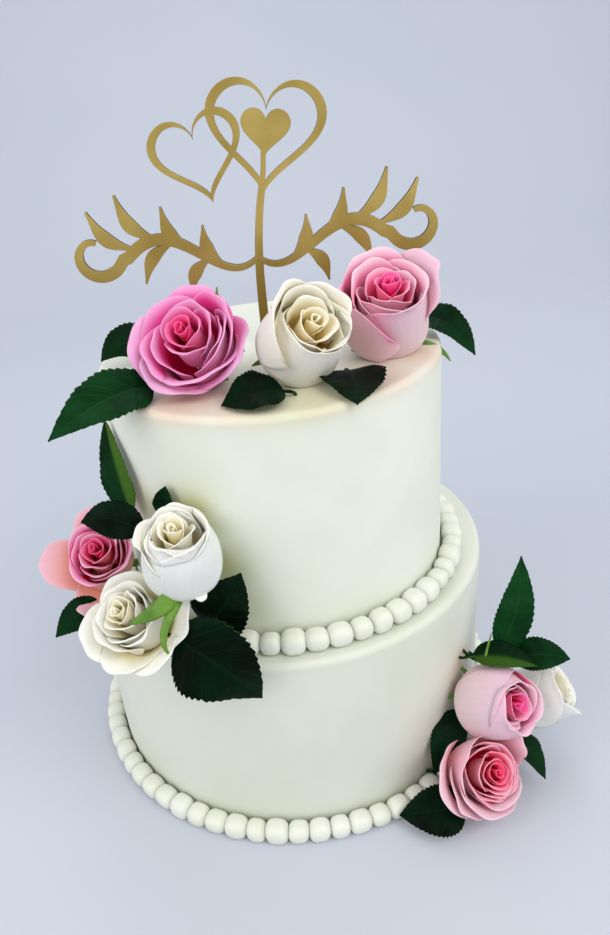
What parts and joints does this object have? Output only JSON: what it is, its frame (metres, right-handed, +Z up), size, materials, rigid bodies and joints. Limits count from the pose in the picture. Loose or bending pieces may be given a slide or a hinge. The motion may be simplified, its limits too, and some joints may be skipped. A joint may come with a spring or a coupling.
{
  "type": "tiered wedding cake",
  "caption": "Tiered round buttercream wedding cake with piped pearl borders, fresh rose sprays with leaves, and a gold heart and scroll topper.",
  "frame": {"origin": "centre of the lower tier's flat bottom", "axes": "+Z up along the lower tier's axis, -Y towards the viewer of the front, +X to the viewer's right"},
  "size_m": [0.2668, 0.2487, 0.3403],
  "materials": {
    "buttercream": "smooth ivory buttercream, soft sheen",
    "piped_pearls": "piped ivory buttercream pearls",
    "hot_pink_petal": "velvety hot pink rose petal",
    "pale_pink_petal": "velvety pale pink rose petal, magenta heart",
    "coral_petal": "velvety coral pink rose petal",
    "white_petal": "velvety cream white rose petal",
    "leaf": "dark green waxy rose leaf with veins",
    "gold": "satin gold laser-cut sheet"
  },
  "bodies": {
    "root": {"tier_lower": "buttercream", "tier_upper": "buttercream", "border_lower": "piped_pearls", "border_upper": "piped_pearls", "topper": "gold", "rose_top_hot_pink": "hot_pink_petal", "rose_top_white": "white_petal", "rose_top_pale_pink": "pale_pink_petal", "rose_left_pink": "coral_petal", "rose_left_white_bud": "white_petal", "rose_left_white_open": "white_petal", "rose_right_pale_pink": "pale_pink_petal", "rose_right_coral": "coral_petal", "rose_right_white": "white_petal", "leaf_top_long": "leaf", "leaf_top_back": "leaf", "leaf_top_front": "leaf", "leaf_top_middle": "leaf", "leaf_top_right": "leaf", "leaf_left_tall": "leaf", "leaf_left_small": "leaf", "leaf_left_over": "leaf", "leaf_left_low": "leaf", "leaf_left_upper": "leaf", "leaf_left_big": "leaf", "leaf_right_tall": "leaf", "leaf_right_side": "leaf", "leaf_right_flat": "leaf", "leaf_right_inner": "leaf", "leaf_right_floor": "leaf", "leaf_right_edge": "leaf"}
  },
  "joints": []
}
